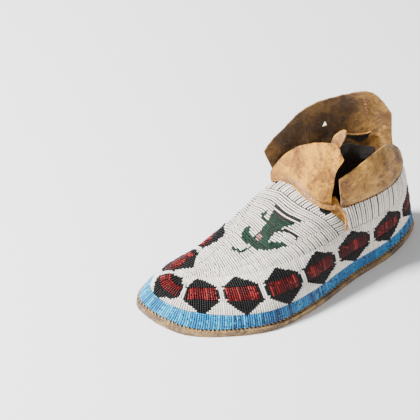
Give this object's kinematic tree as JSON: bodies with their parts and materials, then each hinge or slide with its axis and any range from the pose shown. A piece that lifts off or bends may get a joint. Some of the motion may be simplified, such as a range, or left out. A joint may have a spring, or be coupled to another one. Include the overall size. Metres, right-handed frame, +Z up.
{
  "type": "beaded moccasin",
  "caption": "Low hide moccasin with a stiff sole, lane-stitched bead covering, folding tongue and an ankle cuff of two folding flaps.",
  "frame": {"origin": "under the middle of the foot on the floor: the sole's resting plane, at half the sole's length", "axes": "+Y towards the heel, -Y towards the toe, +X towards the outer (little toe) side, +Z up; left foot"},
  "size_m": [0.1026, 0.261, 0.15],
  "materials": {
    "white_beads": "small glossy opaque glass beads",
    "blue_beads": "small glossy opaque glass beads",
    "red_beads": "small glossy glass beads",
    "smoked_hide": "napped, smoked hide",
    "sinew": "dry twisted sinew",
    "rawhide": "hard, worn rawhide"
  },
  "bodies": {
    "moccasin": {"sole": "rawhide", "upper": "smoked_hide", "cuff_heel": "smoked_hide", "sole_seam_sinew": "sinew", "cuff_seam_sinew": "sinew", "tie_lace": "smoked_hide", "lane_sole_edge": "blue_beads", "lane_band_lower": "white_beads", "lane_band_middle": "red_beads", "lane_band_upper": "white_beads", "lane_quarter": "white_beads", "lane_instep": "white_beads", "lane_vamp_outer_1": "white_beads", "lane_vamp_outer_2": "white_beads", "lane_vamp_centre": "white_beads", "lane_vamp_inner": "white_beads", "lane_toe_fill": "white_beads"},
    "tongue": {"tongue": "smoked_hide"},
    "outer_flap": {"cuff_outer_flap": "smoked_hide"},
    "inner_flap": {"cuff_inner_flap": "smoked_hide"}
  },
  "joints": [
    {"name": "tongue_fold", "type": "hinge", "parent": "moccasin", "child": "tongue", "pos_m": [0, 0.024, 0.084], "axis": [0.9126, 0.4088, 0], "range_deg": [0, 85]},
    {"name": "outer_flap_fold", "type": "hinge", "parent": "moccasin", "child": "outer_flap", "pos_m": [0.0236, 0.063, 0.0762], "axis": [-0.0981, 0.9935, 0.057], "range_deg": [0, 80]},
    {"name": "inner_flap_fold", "type": "hinge", "parent": "moccasin", "child": "inner_flap", "pos_m": [-0.0262, 0.071, 0.0766], "axis": [-0.165, -0.9851, -0.048], "range_deg": [0, 75]}
  ]
}
